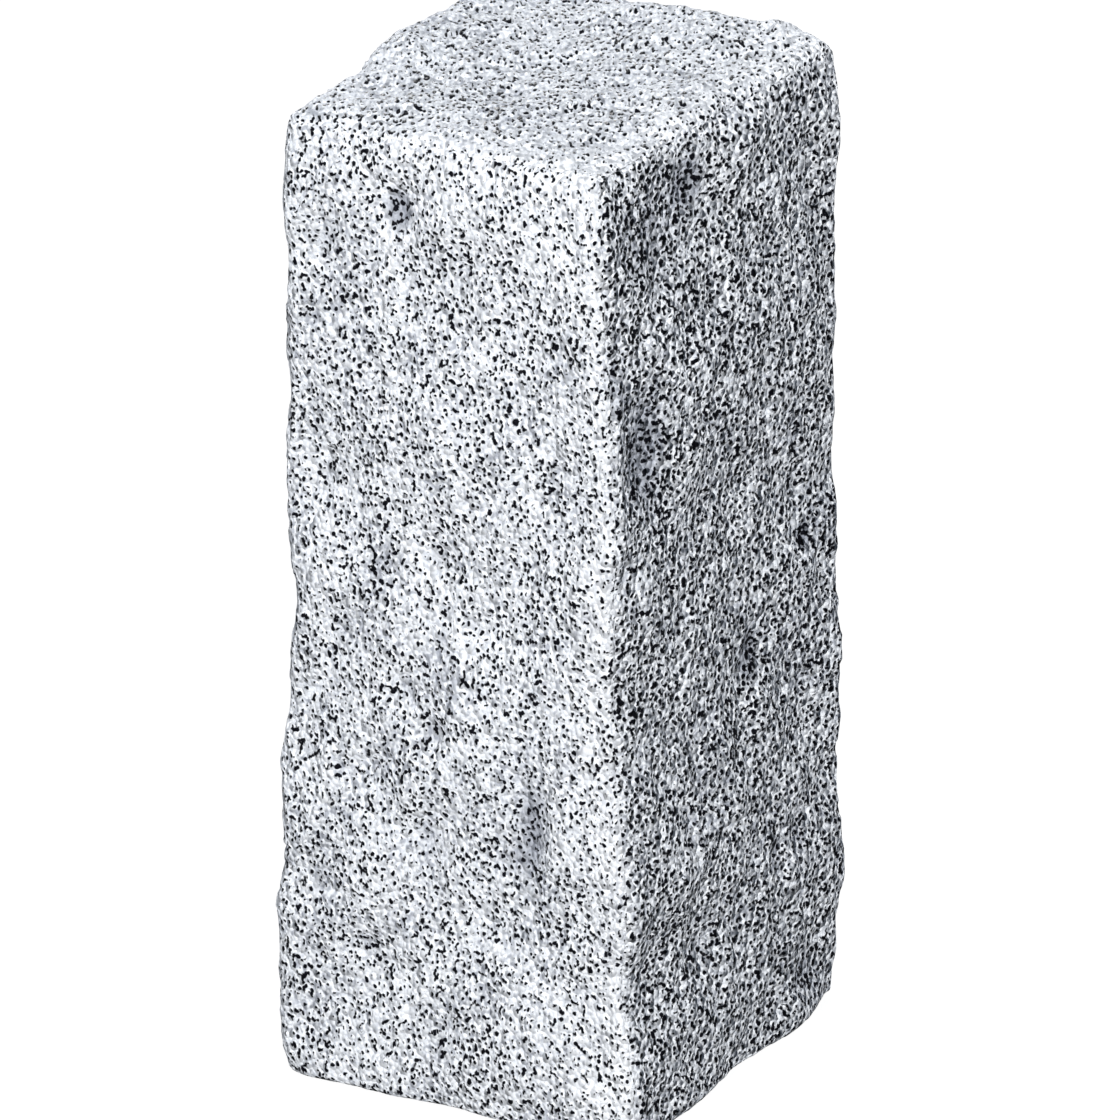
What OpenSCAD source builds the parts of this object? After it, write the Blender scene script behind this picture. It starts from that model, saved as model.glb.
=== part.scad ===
// Granite palisade: a short hewn post that edges beds and steps, worked from one block of granite.
// The origin is the middle of the foot, +Z runs up to the head, and the front looks along -Y.

/* [Block] */
// Width of the front, along X
width = 95; // [80:1:120]
// Depth from front to back, along Y
depth = 109; // [80:1:120]
// Height from foot to head
height = 250; // [200:5:300]

/* [Arrises] */
// Radius of the four upright arrises
side_radius = 4; // [3:0.5:10]
// Radius of the arris round the head
head_radius = 9; // [6:0.5:14]
// Radius of the arris round the foot
foot_radius = 6; // [5:0.5:12]
// Furthest that an upright arris strays from a straight line
stray = 7; // [0:0.5:9]
// Furthest that a corner of the head stands above or below the height
head_tilt = 3; // [0:0.5:5]

/* [Hewn faces] */
// Depth of the broad swells left where the block was split
swell_depth = 0.9; // [0:0.1:2]
// Distance from one broad swell to the next
swell_length = 55; // [40:5:90]
// Depth of the short waves left by the hammer
hammer_depth = 0.5; // [0:0.1:1]
// Distance from one hammer wave to the next
hammer_length = 17; // [14:1:30]
// Depth of the deepest hollow where a flake came away
flake_depth = 4; // [0:0.5:6]
// How deep the dressed foot was cut into the rough block
foot_dressing = 3; // [1:0.5:4]

/* [Skin] */
// Side of one facet of the hewn skin
facet = 5.5; // [5:0.5:12]

/* [Hidden] */

// How far each upright arris strays in X, from foot to head at even heights, as shares of stray.
FRONT_LEFT_STRAY = [-0.1, -0.45, -0.55, 0, -0.45, 0, 0.4, -0.1, -0.05, 0.1, 0.35, 0.25, 0];
FRONT_RIGHT_STRAY = [0.45, 0.45, -0.2, 0.05, -0.1, -0.25, -0.5, -0.5, -0.15, -0.4, -0.95, -0.95, -1];
BACK_RIGHT_STRAY = [0.3, 0.3, 0.5, 0.25, 0.2, 0, 0.05, -0.05, 0, 0.05, 0.1, 0.15, 0.15];
BACK_LEFT_STRAY = [-0.15, -0.3, -0.25, 0, 0.1, 0, -0.15, -0.1, 0.1, 0.25, 0.15, 0, -0.1];

// How far each corner of the head stands above the height, as shares of head_tilt.
HEAD_CORNERS = [[0.1, -0.3], [1, 0.6]];

// Hollows where flakes came away: the place as shares of half width, half depth and height, the
// reach along X, Y and Z in mm, and the depth as a share of flake_depth.
FLAKES = [
    // the front
    [[-0.3, -1, 0.93], [7, 6, 9], 0.6],
    [[0.2, -1, 0.86], [7, 6, 11], 0.15],
    [[-0.45, -1, 0.78], [9, 6, 12], 0.25],
    [[0.1, -1, 0.74], [7, 6, 9], 0.25],
    [[0.6, -1, 0.68], [8, 6, 16], 0.3],
    [[-0.7, -1, 0.63], [9, 6, 12], 0.25],
    [[-0.1, -1, 0.57], [10, 6, 9], 0.3],
    [[-0.6, -1, 0.48], [9, 6, 10], 0.35],
    [[-0.2, -1, 0.42], [9, 6, 9], 0.4],
    [[0.4, -1, 0.34], [8, 6, 14], 0.6],
    [[-0.15, -1, 0.29], [9, 6, 9], 0.3],
    [[-0.75, -1, 0.22], [10, 6, 10], 0.3],
    [[0.3, -1, 0.2], [11, 6, 8], 0.25],
    [[-0.4, -1, 0.13], [12, 6, 10], 0.35],
    // the right face
    [[1, -0.8, 0.71], [9, 9, 18], 0.8],
    [[1, -0.3, 0.94], [8, 9, 8], 0.35],
    [[1, 0.8, 0.84], [8, 9, 12], 0.3],
    [[1, 0.65, 0.55], [8, 9, 13], 0.4],
    [[1, -0.45, 0.53], [8, 10, 9], 0.3],
    [[1, 0.2, 0.42], [6, 7, 10], 0.4],
    [[1, 0.6, 0.33], [8, 10, 10], 0.3],
    [[1, -0.3, 0.17], [8, 12, 10], 0.35],
    [[1, 0.65, 0.09], [8, 10, 9], 0.2],
    [[1, 0, 0], [10, 10, 9], 0.7],
    // the back
    [[0.5, 1, 0.82], [14, 7, 10], 0.5],
    [[-0.3, 1, 0.6], [11, 7, 16], 0.6],
    [[0.3, 1, 0.35], [10, 7, 12], 0.4],
    [[-0.6, 1, 0.15], [13, 7, 9], 0.5],
    // the left face
    [[-1, -0.4, 0.8], [7, 12, 10], 0.5],
    [[-1, 0.3, 0.66], [7, 9, 14], 0.35],
    [[-1, -0.1, 0.4], [7, 13, 9], 0.5],
    [[-1, 0.6, 0.2], [7, 10, 12], 0.4],
    // the head
    [[-0.2, -0.1, 1], [16, 20, 8], 0.3],
    [[-0.5, -1, 1], [20, 9, 9], 0.5],
    [[0.5, 1, 1], [18, 9, 9], 0.2],
    // the corners
    [[-1, -1, 1], [7, 7, 7], 0.3],
    [[-1, -1, 0], [10, 8, 5], 0.4],
    [[1, 1, 1], [8, 8, 7], 0.5],
    [[-1, 1, 1], [7, 7, 7], 0.3],
    [[1, 1, 0], [6, 6, 7], 0.2],
    [[-1, 1, 0], [8, 8, 9], 0.6]
];

// Waves that make up a rough surface: each has its own direction and phase.
WAVES = 14;

GRAIN_SEED = 3;

function clamp(value, low, high) = max(low, min(high, value));
function mix(a, b, share) = a + (b - a) * share;
function smooth(share) = share * share * (3 - 2 * share);
function unit(vector) = vector / norm(vector);

// A smooth random height between about -1 and 1: the sum of waves of one length that run every way.
function rough(place, length, seed) =
    let (
        turn = rands(0, 360, WAVES, seed),
        rise = rands(-1, 1, WAVES, seed + 1),
        phase = rands(0, 360, WAVES, seed + 2),
        heights = [
            for (i = [0 : WAVES - 1])
                let (level = sqrt(1 - rise[i] * rise[i]))
                sin(
                    360 / length * (place * [level * cos(turn[i]), level * sin(turn[i]), rise[i]])
                    + phase[i]
                )
        ]
    )
    heights * [for (i = [1 : WAVES]) 1] / sqrt(WAVES);

// The value of an evenly spaced list at a share from 0 to 1 along it, eased between its stations.
function along(list, share) =
    let (
        at = clamp(share, 0, 1) * (len(list) - 1),
        i = min(floor(at), len(list) - 2)
    )
    mix(list[i], list[i + 1], smooth(at - i));

// The value at a place across the block, between the values at its four corners.
function across(corners, u, v) =
    mix(mix(corners[0][0], corners[0][1], u), mix(corners[1][0], corners[1][1], u), v);

// Rows of facets over a length: two rows turn each arris, and even rows cover what lies between.
function rows(length, low_radius, high_radius) =
    let (
        turn = tan(22.5),
        flat = length - low_radius - high_radius,
        count = max(4, round(flat / facet))
    )
    concat(
        [0, low_radius * (1 - turn)],
        [for (i = [0 : count]) low_radius + flat * i / count],
        [length - high_radius * (1 - turn), length]
    );

rough_height = height + foot_dressing;
columns = [for (x = rows(width, side_radius, side_radius)) x - width / 2];
ranks = [for (y = rows(depth, side_radius, side_radius)) y - depth / 2];
courses = [for (z = rows(rough_height, foot_radius, head_radius)) z - foot_dressing];

nx = len(columns) - 1;
ny = len(ranks) - 1;
nz = len(courses) - 1;
ring = 2 * (nx + ny);

// Depth of the hollows at a place on the skin.
function flaked(place) =
    max([
        for (flake = FLAKES)
            let (
                centre = [flake[0].x * width / 2, flake[0].y * depth / 2, flake[0].z * height],
                away = place - centre,
                reach = [away.x / flake[1].x, away.y / flake[1].y, away.z / flake[1].z]
            )
            flake_depth * flake[2] * exp(-reach * reach)
    ]);

// A point of the hewn skin, from the point [x, y, z] of the sharp block that it was worked from.
function hewn(x, y, z) =
    let (
        bed_radius = z > height / 2 ? head_radius : foot_radius,
        radii = [side_radius, side_radius, bed_radius],
        core = [
            clamp(x, side_radius - width / 2, width / 2 - side_radius),
            clamp(y, side_radius - depth / 2, depth / 2 - side_radius),
            clamp(z, foot_radius - foot_dressing, height - head_radius)
        ],
        out = unit([for (i = [0 : 2]) ([x, y, z][i] - core[i]) / radii[i]]),
        worn = [for (i = [0 : 2]) core[i] + out[i] * radii[i]],
        relief = swell_depth * rough(worn, swell_length, GRAIN_SEED)
            + hammer_depth * rough(worn, hammer_length, GRAIN_SEED + 10)
            - flaked(worn),
        u = x / width + 0.5,
        v = y / depth + 0.5,
        w = clamp(z / height, 0, 1),
        strays = [
            [along(FRONT_LEFT_STRAY, w), along(FRONT_RIGHT_STRAY, w)],
            [along(BACK_LEFT_STRAY, w), along(BACK_RIGHT_STRAY, w)]
        ]
    )
    worn + out * relief + [stray * across(strays, u, v), 0, head_tilt * w * across(HEAD_CORNERS, u, v)];

// The column and rank of each point round one course, counter-clockwise seen from above.
RING_PLACES = concat(
    [for (i = [0 : nx - 1]) [i, 0]],
    [for (j = [0 : ny - 1]) [nx, j]],
    [for (i = [nx : -1 : 1]) [i, ny]],
    [for (j = [ny : -1 : 1]) [0, j]]
);

// Where a place of the grid stands in the ring round it.
function ring_index(i, j) =
    j == 0 ? i
    : i == nx ? nx + j
    : j == ny ? 2 * nx + ny - i
    : 2 * (nx + ny) - j;

// The point number of a place on the foot (end 0) or the head (end 1).
function end_index(i, j, end) =
    (i == 0 || j == 0 || i == nx || j == ny)
        ? end * nz * ring + ring_index(i, j)
        : (nz + 1) * ring + end * (nx - 1) * (ny - 1) + (j - 1) * (nx - 1) + i - 1;

// The rough block: courses of facets up the four faces, and a grid of facets over each end.
module rough_block() {
    sides = [
        for (k = [0 : nz]) for (place = RING_PLACES)
            hewn(columns[place.x], ranks[place.y], courses[k])
    ];
    ends = [
        for (k = [0, nz]) for (j = [1 : ny - 1]) for (i = [1 : nx - 1])
            hewn(columns[i], ranks[j], courses[k])
    ];
    side_faces = [
        for (k = [0 : nz - 1]) for (m = [0 : ring - 1])
            let (low = k * ring, high = low + ring, next = (m + 1) % ring)
            each [
                [low + m, high + m, high + next],
                [low + m, high + next, low + next]
            ]
    ];
    end_faces = [
        for (end = [0, 1]) for (j = [0 : ny - 1]) for (i = [0 : nx - 1])
            let (
                a = end_index(i, j, end),
                b = end_index(i + 1, j, end),
                c = end_index(i + 1, j + 1, end),
                d = end_index(i, j + 1, end)
            )
            each (end == 1 ? [[a, d, c], [a, c, b]] : [[a, b, c], [a, c, d]])
    ];
    polyhedron(concat(sides, ends), concat(side_faces, end_faces), convexity = 4);
}

// The space above the bed that the foot is dressed flat to.
module above_bed() {
    margin = stray + swell_depth + hammer_depth + head_tilt;
    room = 2 * margin;
    translate([-width / 2 - room, -depth / 2 - room, 0])
        cube([width + 2 * room, depth + 2 * room, height + 2 * room]);
}

module palisade() {
    color("lightgray")
        intersection() {
            rough_block();
            above_bed();
        }
}

palisade();
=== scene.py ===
import math

import bpy
import numpy as np
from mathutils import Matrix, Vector


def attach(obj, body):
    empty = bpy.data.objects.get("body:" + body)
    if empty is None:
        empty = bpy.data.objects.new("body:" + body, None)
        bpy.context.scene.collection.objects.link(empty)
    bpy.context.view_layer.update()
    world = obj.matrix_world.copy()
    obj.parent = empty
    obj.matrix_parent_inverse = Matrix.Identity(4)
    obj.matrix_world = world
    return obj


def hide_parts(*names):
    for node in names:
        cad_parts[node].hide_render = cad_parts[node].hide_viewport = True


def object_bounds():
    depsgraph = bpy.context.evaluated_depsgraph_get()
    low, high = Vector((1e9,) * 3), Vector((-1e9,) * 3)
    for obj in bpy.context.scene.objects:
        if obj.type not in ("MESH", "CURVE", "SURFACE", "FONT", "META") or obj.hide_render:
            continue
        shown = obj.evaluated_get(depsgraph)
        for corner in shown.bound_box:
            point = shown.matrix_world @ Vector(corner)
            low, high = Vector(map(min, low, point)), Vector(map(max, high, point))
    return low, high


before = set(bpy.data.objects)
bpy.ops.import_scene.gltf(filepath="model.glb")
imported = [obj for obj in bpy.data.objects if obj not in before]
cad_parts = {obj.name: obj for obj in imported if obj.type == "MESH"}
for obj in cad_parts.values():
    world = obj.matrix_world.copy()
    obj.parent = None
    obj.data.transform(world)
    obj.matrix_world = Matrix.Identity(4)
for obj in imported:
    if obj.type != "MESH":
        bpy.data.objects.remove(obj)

cad_low, cad_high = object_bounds()

# ---- The studio --------------------------------------------------------------------------------
# A long lens sees the stone from a little above, its front to the left and its right face to the
# right, on a white floor. One softbox lights the front full on and grazes the right face, a weak
# one fills in from the left, one hangs over the head, and one behind keeps the back readable.
VIEW_AZIMUTH = math.radians(28.9)
VIEW_ELEVATION = math.radians(22.4)
VIEW_DISTANCE = 3.0
LENS = 397.5
FURTHEST_SEEN = 50
AIM = Vector((0, 0, 0.125))
AIM_SIDEWAYS = -0.0005
AIM_UPWARDS = 0.0005
WHITE = (1, 1, 1, 1)
FILL_COLOUR = (0.5, 0.7, 1, 1)
FILL_STRENGTH = 0.12
FLOOR_RADIUS = 6.0
FLOOR_CORNERS = 96
FLOOR_GREY = (0.12, 0.12, 0.12, 1)
FLOOR_GLOW = 0.93

scene = bpy.context.scene
scene.view_settings.view_transform = "Standard"

towards_camera = Vector((
    math.sin(VIEW_AZIMUTH) * math.cos(VIEW_ELEVATION),
    -math.cos(VIEW_AZIMUTH) * math.cos(VIEW_ELEVATION),
    math.sin(VIEW_ELEVATION),
))
across_view = Vector((math.cos(VIEW_AZIMUTH), math.sin(VIEW_AZIMUTH), 0))
up_view = towards_camera.cross(across_view)


def stand(name, data, spot, direction):
    """Puts a camera or a lamp at a spot, looking in a direction."""
    holder = bpy.data.objects.new(name, data)
    holder.location = spot
    holder.rotation_mode = "QUATERNION"
    holder.rotation_quaternion = direction.to_track_quat("-Z", "Y")
    scene.collection.objects.link(holder)
    return holder


def softbox(name, spot, side, watts):
    """A square lamp of the given side that faces the middle of the stone."""
    lamp = bpy.data.lights.new(name, "AREA")
    lamp.size = side
    lamp.energy = watts
    return stand(name, lamp, spot, AIM - Vector(spot))


def joined(tree, kind, sockets, **settings):
    """A shader node with its settings. Each of its sockets is linked to an output or set to a value."""
    made = tree.nodes.new("ShaderNode" + kind)
    for name, value in settings.items():
        setattr(made, name, value)
    for socket, value in sockets.items():
        if isinstance(value, bpy.types.NodeSocket):
            tree.links.new(value, made.inputs[socket])
        else:
            made.inputs[socket].default_value = value
    return made


lens = bpy.data.cameras.new("studio_camera")
lens.lens = LENS
lens.clip_end = FURTHEST_SEEN
aim = AIM + across_view * AIM_SIDEWAYS + up_view * AIM_UPWARDS
scene.camera = stand("studio_camera", lens, aim + towards_camera * VIEW_DISTANCE, -towards_camera)

softbox("front_softbox", (1.2, -1.72, 0.95), 0.3, 58)
softbox("left_softbox", (-1.7, -1.5, 0.3), 0.5, 11)
softbox("head_softbox", (-0.1, -0.1, 2.2), 0.5, 19.5)
softbox("back_softbox", (-1.3, 1.7, 0.6), 0.5, 40)

# The room and the floor are white where the camera sees them. To the stone the room is a faint blue
# fill and the floor a dark grey, so that its shaded side stays dark.
room = bpy.data.worlds.new("white_room")
room.use_nodes = True
scene.world = room
room.node_tree.nodes.clear()
rays = joined(room.node_tree, "LightPath", {}).outputs["Is Camera Ray"]
fill = joined(room.node_tree, "Background", {"Color": FILL_COLOUR, "Strength": FILL_STRENGTH}).outputs[0]
wall = joined(room.node_tree, "Background", {"Color": WHITE, "Strength": 1.0}).outputs[0]
shown = joined(room.node_tree, "MixShader", {0: rays, 1: fill, 2: wall}).outputs[0]
joined(room.node_tree, "OutputWorld", {"Surface": shown})

turns = np.linspace(0, 2 * math.pi, FLOOR_CORNERS + 1)[:-1]
rim = np.stack([FLOOR_RADIUS * np.cos(turns), FLOOR_RADIUS * np.sin(turns), 0 * turns], axis=1)
floor_mesh = bpy.data.meshes.new("floor")
floor_mesh.from_pydata(rim.tolist(), [], [list(range(len(rim)))])
floor = bpy.data.objects.new("floor", floor_mesh)
scene.collection.objects.link(floor)

# From below the floor is clear, so the stone's foot can be looked at.
floor_paint = bpy.data.materials.new("floor_paint")
floor_paint.use_nodes = True
floor.data.materials.append(floor_paint)
tree = floor_paint.node_tree
tree.nodes.clear()
rays = joined(tree, "LightPath", {}).outputs["Is Camera Ray"]
below = joined(tree, "NewGeometry", {}).outputs["Backfacing"]
paint = joined(tree, "BsdfDiffuse", {"Color": FLOOR_GREY}).outputs[0]
glow = joined(tree, "Emission", {"Strength": FLOOR_GLOW}).outputs[0]
bright = joined(tree, "AddShader", {0: paint, 1: glow}).outputs[0]
upper = joined(tree, "MixShader", {0: rays, 1: paint, 2: bright}).outputs[0]
clear = joined(tree, "BsdfTransparent", {}).outputs[0]
one_sided = joined(tree, "MixShader", {0: below, 1: upper, 2: clear}).outputs[0]
joined(tree, "OutputMaterial", {"Surface": one_sided})

# ---- The stone ---------------------------------------------------------------------------------
# One block of granite, split from the bed with wedges and hewn to a post with hammer and point.
# The blows leave shallow broken facets and pits all over it, the arrises are blunted, and only
# the foot is dressed flat.
SQUARE = 0.00116
SIDE_BULGE = 0.004
FRONT_BULGE = 0.002
HEAD_BULGE = 0.003
ARRIS_RADIUS = 0.0035
DRAWS = 4096

low = np.array(cad_low)
high = np.array(cad_high)


def steps(start, stop):
    """Even steps of about the side of one SQUARE from start to stop."""
    return np.linspace(start, stop, round((stop - start) / SQUARE) + 1)


def cell_number(cells):
    """A repeatable number for each lattice cell: its indices times large primes, mixed."""
    blend = cells[..., 0] * 73856093 ^ cells[..., 1] * 19349663 ^ cells[..., 2] * 83492791
    return (blend ^ blend >> 13) % DRAWS


def lattice_noise(points, spacing, seed):
    """Smooth random height from about -1 to 1: a random slope at each of the eight corners of a
    lattice cell, blended by the ease 6t^5 - 15t^4 + 10t^3 along each axis."""
    slopes = np.random.default_rng(seed).uniform(-1.6, 1.6, (DRAWS, 3))
    scaled = points / spacing
    cell = np.floor(scaled).astype(np.int64)
    offset = scaled - cell
    ease = offset ** 3 * (offset * (offset * 6 - 15) + 10)
    height = np.zeros(len(points))
    for corner in np.ndindex(2, 2, 2):
        share = np.prod(np.where(corner, ease, 1 - ease), axis=1)
        height += share * np.sum(slopes[cell_number(cell + corner)] * (offset - corner), axis=1)
    return height


def broken_facets(points, spacing, seed):
    """Height of a surface broken into small planes: each lattice cell has one random seed, and
    each point lies on the tilted plane through the seed that is nearest to it."""
    table = np.random.default_rng(seed).random((DRAWS, 6))
    scaled = points / spacing
    cell = np.floor(scaled).astype(np.int64)
    nearest = np.full(len(points), np.inf)
    height = np.zeros(len(points))
    for nearby in np.ndindex(3, 3, 3):
        other = cell + nearby - 1
        drawn = table[cell_number(other)]
        away = scaled - other - drawn[:, :3]
        distance = np.sum(away ** 2, axis=1)
        plane = np.sum(away * (drawn[:, 3:] * 2 - 1), axis=1) + drawn[:, 3] - 0.5
        closer = distance < nearest
        nearest = np.where(closer, distance, nearest)
        height = np.where(closer, plane, height)
    return height


# The grid: rings of points up the four sides, and a grid of points inside each end. It lies inside
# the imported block's box by as much as the hewn faces bulge.
xs = steps(low[0] + SIDE_BULGE, high[0] - SIDE_BULGE)
ys = steps(low[1] + FRONT_BULGE, high[1] - FRONT_BULGE)
zs = steps(low[2], high[2] - HEAD_BULGE)
nx = len(xs) - 1
ny = len(ys) - 1
nz = len(zs) - 1
ring_x = np.concatenate([np.arange(nx), np.full(ny, nx), np.arange(nx, 0, -1), np.zeros(ny, int)])
ring_y = np.concatenate([np.zeros(nx, int), np.arange(ny), np.full(nx, ny), np.arange(ny, 0, -1)])
ring = len(ring_x)

side_numbers = np.arange((nz + 1) * ring).reshape(nz + 1, ring)
end_numbers = np.zeros((2, nx + 1, ny + 1), int)
for end in (0, 1):
    inner_numbers = np.arange((nx - 1) * (ny - 1)).reshape(nx - 1, ny - 1)
    end_numbers[end, 1:nx, 1:ny] = (nz + 1) * ring + end * inner_numbers.size + inner_numbers
    end_numbers[end, ring_x, ring_y] = side_numbers[end * nz]

sides = np.stack([np.tile(xs[ring_x], nz + 1), np.tile(ys[ring_y], nz + 1), np.repeat(zs, ring)], axis=1)
inner = np.stack(np.meshgrid(xs[1:nx], ys[1:ny], indexing="ij"), axis=-1).reshape(-1, 2)
ends = [np.column_stack([inner, np.full(len(inner), end_z)]) for end_z in (zs[0], zs[-1])]
sharp = np.concatenate([sides, *ends])

onward = np.roll(side_numbers, -1, axis=1)
side_quads = np.stack([side_numbers[:-1], onward[:-1], onward[1:], side_numbers[1:]], axis=-1)
end_quads = np.stack([
    end_numbers[:, :-1, :-1], end_numbers[:, 1:, :-1], end_numbers[:, 1:, 1:], end_numbers[:, :-1, 1:],
], axis=-1)
foot_quads = end_quads[0][..., ::-1]
quads = np.concatenate([side_quads.reshape(-1, 4), end_quads[1].reshape(-1, 4), foot_quads.reshape(-1, 4)])

# The rounded block: each point of the sharp block is drawn in to one radius from the block's core.
core_low = np.array([xs[0] + ARRIS_RADIUS, ys[0] + ARRIS_RADIUS, zs[0] + ARRIS_RADIUS / 2])
core_high = np.array([xs[-1], ys[-1], zs[-1]]) - ARRIS_RADIUS
core = np.clip(sharp, core_low, core_high)
outwards = sharp - core
outwards /= np.linalg.norm(outwards, axis=1, keepdims=True)
rounded = core + outwards * ARRIS_RADIUS

# Its four upright arrises lean and wander as the hewn block's do. In a band round each level the
# hewn point that reaches furthest towards a corner is on that arris. A rounded corner falls short
# of the sharp one by a share of its radius.
ARRIS_LEVELS = 23
LOWEST_LEVEL = 0.008
HIGHEST_LEVEL = high[2] - 0.014
LEVEL_BAND = 0.006
ROUNDED_AWAY = 0.3

hewn_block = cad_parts["palisade"].data
hewn_points = np.empty(3 * len(hewn_block.vertices), np.float32)
hewn_block.vertices.foreach_get("co", hewn_points)
hewn_points = hewn_points.reshape(-1, 3)
levels = np.linspace(LOWEST_LEVEL, HIGHEST_LEVEL, ARRIS_LEVELS)
off_level = np.abs(hewn_points[:, 2] - levels[:, None])
to_right = np.clip((sharp[:, 0] - xs[0]) / (xs[-1] - xs[0]), 0, 1)
to_back = np.clip((sharp[:, 1] - ys[0]) / (ys[-1] - ys[0]), 0, 1)
for side_x, share_x in ((-1, 1 - to_right), (1, to_right)):
    for side_y, share_y in ((-1, 1 - to_back), (1, to_back)):
        outreach = hewn_points[:, 0] * side_x + hewn_points[:, 1] * side_y
        furthest = np.argmax(np.where(off_level < LEVEL_BAND, outreach, -1), axis=1)
        arris_x = np.pad(hewn_points[furthest, 0], 1, mode="edge")
        arris_x = np.convolve(arris_x, (0.25, 0.5, 0.25), mode="valid")
        straight = (xs[0] if side_x < 0 else xs[-1]) - side_x * ARRIS_RADIUS * ROUNDED_AWAY
        rounded[:, 0] += share_x * share_y * (np.interp(sharp[:, 2], levels, arris_x) - straight)


def block_mesh(name, points):
    """A closed mesh of the block's quads through the given points."""
    mesh = bpy.data.meshes.new(name)
    mesh.vertices.add(len(points))
    mesh.vertices.foreach_set("co", points.astype(np.float32).ravel())
    mesh.loops.add(quads.size)
    mesh.loops.foreach_set("vertex_index", quads.astype(np.int32).ravel())
    mesh.polygons.add(len(quads))
    mesh.polygons.foreach_set("loop_start", np.arange(0, quads.size, 4, dtype=np.int32))
    mesh.update(calc_edges=True)
    return mesh


# The rounded block is cast onto the hewn block along its own normals.
stone = bpy.data.objects.new("palisade_stone", block_mesh("palisade_stone", rounded))
scene.collection.objects.link(stone)
cast = stone.modifiers.new("cast", "SHRINKWRAP")
cast.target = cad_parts["palisade"]
cast.wrap_method = "PROJECT"
cast.use_negative_direction = True
finished = stone.evaluated_get(bpy.context.evaluated_depsgraph_get())
landed = np.empty(rounded.size, np.float32)
finished.to_mesh().vertices.foreach_get("co", landed)
finished.to_mesh_clear()
stone.modifiers.clear()
cast_depth = np.sum((landed.reshape(-1, 3) - rounded) * outwards, axis=1)

edges = np.concatenate([quads[:, [0, 1]], quads[:, [1, 2]], quads[:, [2, 3]], quads[:, [3, 0]]])
first, second = edges.T
neighbours = np.bincount(first, minlength=len(sharp)) + np.bincount(second, minlength=len(sharp))


def smoothed(values, rounds):
    """Values over the skin, each drawn halfway to the mean of its neighbours, round after round."""
    for _ in range(rounds):
        total = np.bincount(first, values[second], len(values))
        total += np.bincount(second, values[first], len(values))
        values = (values + total / neighbours) / 2
    return values


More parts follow.
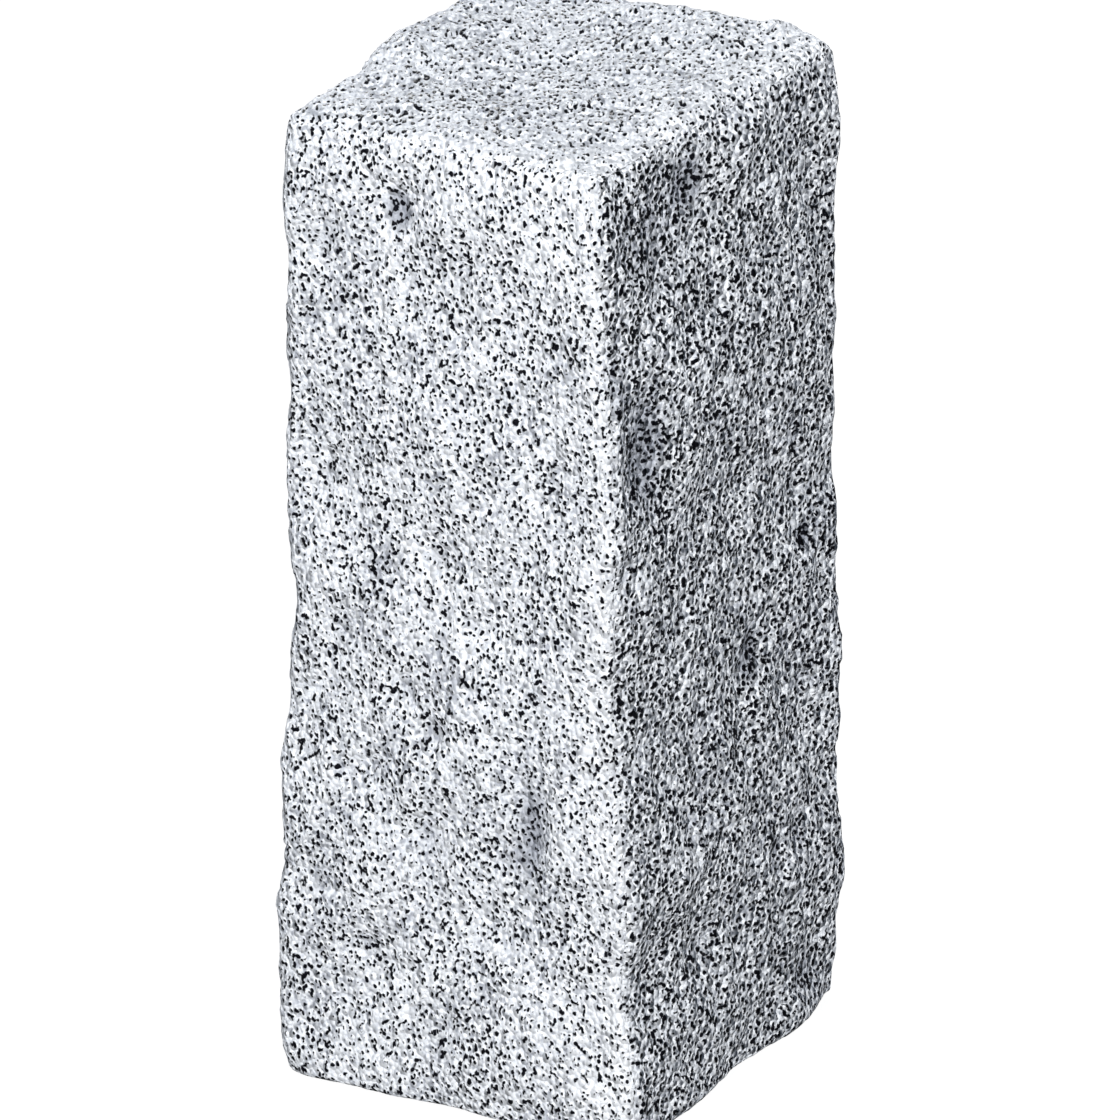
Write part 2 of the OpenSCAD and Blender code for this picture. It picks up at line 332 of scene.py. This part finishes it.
# The hollows that the deeper blows left, and the few humps that they spared: the middle, the reach
# along X, Y and Z, the depth, which a hump has below nought, and how dark the colour is painted there,
# partly as painted shade of the hollow and partly as the darker fresh break.
# A darkness of 1.2 brings out all of the grey of the quartz and the shade, and what goes past it only adds
# mica.
FRONT = -0.0545
RIGHT = 0.0475
HOLLOWS = (
    ((-0.015, FRONT, 0.231), (0.003, 0.010, 0.0045), 0.0020, 2.5),
    ((0.021, FRONT, 0.078), (0.0045, 0.010, 0.014), 0.0015, 1.2),
    ((0.014, FRONT, 0.070), (0.005, 0.010, 0.004), 0.0008, 0.6),
    ((0.028, FRONT, 0.171), (0.004, 0.010, 0.007), 0.0006, 0.4),
    ((-0.010, FRONT, 0.215), (0.003, 0.010, 0.005), 0.0006, 0.4),
    ((-0.022, FRONT, 0.196), (0.004, 0.010, 0.006), 0.0006, 0.4),
    ((0.004, FRONT, 0.187), (0.003, 0.010, 0.005), 0.0006, 0.4),
    ((-0.034, FRONT, 0.159), (0.004, 0.010, 0.006), 0.0007, 0.5),
    ((-0.005, FRONT, 0.144), (0.004, 0.010, 0.004), 0.0007, 0.5),
    ((-0.019, FRONT, 0.139), (0.003, 0.010, 0.004), 0.0006, 0.4),
    ((-0.030, FRONT, 0.120), (0.004, 0.010, 0.005), 0.0007, 0.5),
    ((-0.013, FRONT, 0.110), (0.003, 0.010, 0.004), 0.0007, 0.5),
    ((-0.005, FRONT, 0.100), (0.004, 0.010, 0.004), 0.0008, 0.6),
    ((-0.007, FRONT, 0.073), (0.004, 0.010, 0.004), 0.0007, 0.5),
    ((-0.037, FRONT, 0.054), (0.004, 0.010, 0.005), 0.0007, 0.5),
    ((-0.025, FRONT, 0.039), (0.005, 0.010, 0.004), 0.0006, 0.4),
    ((0.014, FRONT, 0.051), (0.005, 0.010, 0.004), 0.0006, 0.4),
    ((-0.001, FRONT, 0.022), (0.005, 0.010, 0.004), 0.0006, 0.4),
    ((-0.034, FRONT, 0.221), (0.007, 0.010, 0.007), 0.0004, 0.5),
    ((0.004, FRONT, 0.226), (0.005, 0.010, 0.005), 0.0003, 0.2),
    ((0.047, 0.004, 0.252), (0.006, 0.018, 0.006), 0.0022, 0.0),
    ((0.048, FRONT, 0.199), (0.005, 0.005, 0.009), 0.0032, 2.3),
    ((0.049, FRONT, 0.150), (0.003, 0.004, 0.003), 0.0014, 1.0),
    ((0.048, FRONT, 0.116), (0.004, 0.004, 0.005), 0.0024, 1.7),
    ((RIGHT, -0.039, 0.176), (0.010, 0.007, 0.014), 0.0018, 1.7),
    ((RIGHT, -0.048, 0.190), (0.010, 0.004, 0.008), 0.0004, 0.3),
    ((RIGHT, -0.035, 0.161), (0.010, 0.004, 0.006), 0.0004, 0.3),
    ((RIGHT, -0.015, 0.236), (0.010, 0.005, 0.006), 0.0008, 2.4),
    ((RIGHT, -0.032, 0.226), (0.010, 0.018, 0.018), 0.0003, 0.8),
    ((RIGHT, 0.011, 0.106), (0.010, 0.0035, 0.006), 0.0006, 3.0),
    ((RIGHT, 0.037, 0.128), (0.010, 0.0018, 0.0022), 0.0012, 6.0),
    ((RIGHT, 0.033, 0.143), (0.010, 0.004, 0.005), 0.0007, 0.5),
    ((RIGHT, -0.023, 0.128), (0.010, 0.004, 0.005), 0.0008, 0.6),
    ((RIGHT, -0.050, 0.148), (0.010, 0.003, 0.008), 0.0008, 0.6),
    ((RIGHT, 0.034, 0.091), (0.010, 0.004, 0.005), 0.0008, 0.6),
    ((RIGHT, 0.030, 0.054), (0.010, 0.004, 0.006), 0.0007, 0.5),
    ((RIGHT, 0.019, 0.049), (0.010, 0.003, 0.005), 0.0008, 0.6),
    ((RIGHT, 0.035, 0.014), (0.010, 0.009, 0.006), 0.0006, 0.9),
    ((RIGHT, -0.017, 0.041), (0.010, 0.005, 0.005), 0.0008, 0.6),
    ((0.049, 0.049, 0.004), (0.007, 0.006, 0.009), 0.0014, 0.0),
    ((0.049, 0.030, 0.003), (0.008, 0.009, 0.006), -0.0020, 0.0),
    ((0.031, 0.054, 0.252), (0.006, 0.008, 0.008), -0.0018, 0.0),
    ((-0.050, -0.002, 0.250), (0.008, 0.012, 0.008), -0.0014, 0.0),
)


def hollowed(points):
    """Depth and painted darkness of the hollows, partly painted shade and partly the darker fresh
    break: each holds its own values at its middle and fades out over its reach as exp(-r^2), and
    where two meet they add up."""
    total = np.zeros((len(points), 2))
    for middle, reach, depth, shade_and_break in HOLLOWS:
        away = (points - np.array(middle)) / np.array(reach)
        total += np.exp(-np.sum(away ** 2, axis=1))[:, None] * (depth, shade_and_break)
    return total.T


# The blows ran up the faces, so their marks are twice as long as wide: facets of 9 and 4 mm and
# swells of 6 mm. A grain of 3 mm runs all ways, notches are knocked out of the arrises, and towards
# the dressed foot the marks fade. A point is near an edge once its normal has turned from a face.
FULL_TURN = 0.293
FOOT_DRESSING = 0.008
FACET_ROUNDS = 12
EDGE_ROUNDS = 6

upright = rounded * (1, 1, 0.5)
hollow, painted_shade_and_break = hollowed(rounded)
near_edge = smoothed(np.clip((1 - np.abs(outwards).max(axis=1)) / FULL_TURN, 0, 1), EDGE_ROUNDS)
relief = (
    0.0004 * broken_facets(upright, 0.009, 11)
    + 0.0003 * broken_facets(upright, 0.004, 12)
    + 0.0002 * lattice_noise(upright, 0.006, 13)
    + 0.00025 * lattice_noise(rounded, 0.003, 14)
    - 0.0014 * near_edge * np.clip(lattice_noise(rounded, 0.006, 15), 0, 1)
)
relief = (relief - relief.mean()) * np.clip(rounded[:, 2] / FOOT_DRESSING, 0.3, 1) - hollow
hewn = rounded + outwards * (smoothed(cast_depth, FACET_ROUNDS) + relief)[:, None]
hewn[:, 2] = np.maximum(hewn[:, 2], 0)

# What the material reads at each point: how far it stands out of the skin round it, how dark its
# hollow is painted (partly painted shade, partly the darker fresh break), how much the hammer crushed
# it beside the arrises that it was dressed from, whether it is on the right face, which was split last
# and gets painted shade as extra mica, and how far it faces up. Towards the left arris the front and the
# head are less crushed.
FULL_RIDGE = 0.0006
RIDGE_ROUNDS = 40
LEFT_HALF = 0.04
CRUSHED_FROM = 0.22

standing = (relief - smoothed(relief, RIDGE_ROUNDS)) / FULL_RIDGE
from_right = high[0] - rounded[:, 0]
from_front = rounded[:, 1] - low[1]
from_left = np.clip(rounded[:, 0] / LEFT_HALF + 1, 0, 1)
on_front = np.clip(-outwards[:, 1], 0, 1) ** 2
on_head = np.clip(outwards[:, 2], 0, 1) ** 2
# The right face: it sets the crystals' lay and a stronger bump, and its painted shade as extra mica.
split = smoothed(np.clip(outwards[:, 0], 0, 1) ** 2, EDGE_ROUNDS)
crushed = (
    0.65 * on_front * np.exp(-(from_right / 0.013) ** 2)
    + 0.12 * on_front * np.clip((rounded[:, 2] - CRUSHED_FROM) / 0.02, 0, 1) * from_left
    + 0.6 * on_head * np.exp(-(from_right / 0.018) ** 2)
    + 0.5 * on_head * np.exp(-(from_front / 0.012) ** 2) * from_left
)
crushed = smoothed(np.clip(crushed, 0, 1), EDGE_ROUNDS)

layers = {
    "standing": standing, "painted_shade_and_break": painted_shade_and_break, "crushed": crushed, "split": split, "level": outwards[:, 2]
}
skin = block_mesh("palisade_stone", hewn)
skin.shade_smooth()
for label, values in layers.items():
    skin.attributes.new(label, "FLOAT", "POINT").data.foreach_set("value", values.astype(np.float32))
stone.data = skin

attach(stone, "root")
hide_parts("palisade")

# ---- The granite -------------------------------------------------------------------------------
# A fine-grained light grey granite: white feldspar, clear grey quartz, and flakes of black mica
# about a millimetre long. The hammer crushes the crystals to a white bloom beside the arrises and
# on the ridges. The hollows are painted darker, partly as painted shade and partly as the darker
# colour of the fresh break, and the low points of the fine relief get painted shade.
FELDSPAR = (0.885, 0.905, 0.935, 1)
DULL_FELDSPAR = (0.66, 0.69, 0.74, 1)
QUARTZ_AND_SHADE_GREY = (0.29, 0.31, 0.365, 1)
MICA = (0.004, 0.004, 0.007, 1)
BLOOM = (0.92, 0.935, 0.955, 1)
CLOUDS_PER_METRE = 60.0
CRYSTALS_PER_METRE = 840.0
GRAINS_PER_METRE = 930.0
DUST_PER_METRE = 1300.0
SHEEN = 0.06

granite = bpy.data.materials.new("hewn_granite")
granite.use_nodes = True
skin.materials.append(granite)
tree = granite.node_tree
place = joined(tree, "TexCoord", {}).outputs["Object"]
ridge, hollow_shade_and_break, worn, right_side_and_shade, upward = [
    joined(tree, "Attribute", {}, attribute_name=label).outputs["Fac"]
    for label in ("standing", "painted_shade_and_break", "crushed", "split", "level")
]


def spread(value, low_in, high_in, low_out, high_out):
    """A value carried smoothly from one range to another."""
    return joined(
        tree, "MapRange",
        {"Value": value, "From Min": low_in, "From Max": high_in, "To Min": low_out, "To Max": high_out},
        interpolation_type="SMOOTHSTEP",
    ).outputs[0]


def calculated(operation, *values):
    """The result of one sum or product of the values."""
    return joined(tree, "Math", dict(enumerate(values)), operation=operation).outputs[0]


def mixed(share, base, over):
    """The base colour turned to the other colour by a share. Sockets 6 and 7 hold the colours."""
    return joined(tree, "Mix", {0: share, 6: base, 7: over}, data_type="RGBA").outputs[2]


def lain(turn, stretch):
    """Places in the stone, turned and drawn out as its crystals lie."""
    sockets = {"Vector": place, "Rotation": turn, "Scale": stretch}
    return joined(tree, "Mapping", sockets, vector_type="TEXTURE").outputs[0]


def either(value, limit, up_to, past):
    """The vector that holds on each side of a limit of the value. Sockets 4 and 5 hold the two."""
    sockets = {0: calculated("GREATER_THAN", value, limit), 4: up_to, 5: past}
    return joined(tree, "Mix", sockets, data_type="VECTOR").outputs[1]


def noises(per_metre, detail):
    """Three independent noises of one scale, drawn out as the crystals are."""
    sockets = {"Vector": laid, "Scale": per_metre, "Detail": detail, "Roughness": 0.6}
    channels = joined(tree, "TexNoise", sockets).outputs["Color"]
    return joined(tree, "SeparateColor", {0: channels}).outputs


# The crystals show another length and slant where the stone is cut along its front and back, split
# down its side, or cut across its head. Crystals and grains are about a millimetre across, dust is
# a little finer, and the clouds of more or less mica are some two centimetres across.
front_lay = lain((0, -0.05, 0), (1.06, 1.06, 1.29))
side_lay = lain((-0.45, -0.05, 0), (1, 1.6, 1.2))
head_lay = lain((0, 0, 0.5), (1, 2, 1))
laid = either(upward, 0.6, either(right_side_and_shade, 0.5, front_lay, side_lay), head_lay)
clouds = noises(CLOUDS_PER_METRE, 3.0)
grains = noises(GRAINS_PER_METRE, 0.0)
dust = noises(DUST_PER_METRE, 0.0)

bloom = calculated("MULTIPLY", worn, spread(clouds[1], 0.3, 0.6, 0.5, 1.2))
bloom = calculated("MULTIPLY_ADD", spread(ridge, 0.1, 1.2, 0.0, 1.0), 0.5, bloom)
bloom = calculated("MINIMUM", bloom, 0.9)

cloudy = calculated("MULTIPLY_ADD", calculated("SUBTRACT", clouds[2], 0.5), 0.9, grains[0])
quartz = calculated("MULTIPLY", spread(cloudy, 0.54, 0.8, 0.0, 1.0), 0.7)
colour = mixed(spread(dust[0], 0.4, 0.8, 0.0, 1.0), FELDSPAR, DULL_FELDSPAR)
colour = mixed(quartz, colour, QUARTZ_AND_SHADE_GREY)
# Painted shade: the low points of the fine relief are turned towards the grey of the quartz.
colour = mixed(calculated("MULTIPLY", spread(ridge, -0.2, -1.2, 0.0, 1.0), 0.3), colour, QUARTZ_AND_SHADE_GREY)
# The hollows are turned towards the same grey: partly painted shade, partly the darker fresh break.
colour = mixed(calculated("MULTIPLY", spread(hollow_shade_and_break, 0.1, 1.2, 0.0, 1.0), 0.7), colour, QUARTZ_AND_SHADE_GREY)
colour = mixed(bloom, colour, BLOOM)

# Mica lies at the heart of those crystals where a noise passes a limit. The limit rises towards a
# crystal's edge and in the bloom, and sinks in some clouds, in the hollows, where the extra flakes are
# partly painted shade, and on the right face, where the extra flakes are painted shade of the side
# that the light only grazes.
MICA_LIMIT = 0.32
RISE_TO_EDGE = 0.75
RISE_IN_BLOOM = 0.08
FALL_IN_HOLLOW = 0.06
MICA_FOR_SHADE_ON_RIGHT = 0.048

cells = joined(tree, "TexVoronoi", {"Vector": laid, "Scale": CRYSTALS_PER_METRE}, feature="F1").outputs
patchy = calculated(
    "MULTIPLY", spread(clouds[0], 0.3, 0.7, 0.05, -0.05), spread(right_side_and_shade, 0.0, 1.0, 1.0, 0.5)
)
limit = calculated("MULTIPLY_ADD", cells["Distance"], RISE_TO_EDGE, MICA_LIMIT)
limit = calculated("ADD", limit, patchy)
limit = calculated("MULTIPLY_ADD", bloom, RISE_IN_BLOOM, limit)
limit = calculated("MULTIPLY_ADD", hollow_shade_and_break, -FALL_IN_HOLLOW, limit)
# Painted shade: the limit sinks on the right face, so the side that the light only grazes gets more black
# flakes.
limit = calculated("MULTIPLY_ADD", right_side_and_shade, -MICA_FOR_SHADE_ON_RIGHT, limit)


def flaked(noise, higher):
    """Flakes with soft edges where the noise passes the limit raised by the given height."""
    above = calculated("SUBTRACT", calculated("SUBTRACT", noise, limit), higher)
    return joined(tree, "MapRange", {"Value": above, "From Min": -0.045, "From Max": 0.06}).outputs[0]


flakes = calculated("MAXIMUM", flaked(grains[1], 0.0), flaked(dust[1], 0.02))
colour = mixed(flakes, colour, MICA)

# The broken crystals: each cell is a small tilted plane that falls away from its heart, and the
# crystals of the right face stand out more.
inside = joined(tree, "VectorMath", {0: laid, 1: cells["Position"]}, operation="SUBTRACT").outputs[0]
tilt = joined(tree, "VectorMath", {0: cells["Color"], 1: (0.5, 0.5, 0.5)}, operation="SUBTRACT").outputs[0]
slant = joined(tree, "VectorMath", {0: inside, 1: tilt}, operation="DOT_PRODUCT").outputs["Value"]
bumps = calculated("MULTIPLY_ADD", cells["Distance"], -0.0009, slant)
bumps = calculated("MULTIPLY", bumps, spread(right_side_and_shade, 0.0, 1.0, 1.0, 1.65))
normal = joined(tree, "Bump", {"Strength": 1.0, "Distance": 1.0, "Height": bumps}).outputs[0]

shader = tree.nodes["Principled BSDF"]
tree.links.new(colour, shader.inputs["Base Color"])
shader.inputs["Specular IOR Level"].default_value = SHEEN
tree.links.new(spread(flakes, 0.0, 1.0, 0.9, 0.5), shader.inputs["Roughness"])
tree.links.new(normal, shader.inputs["Normal"])
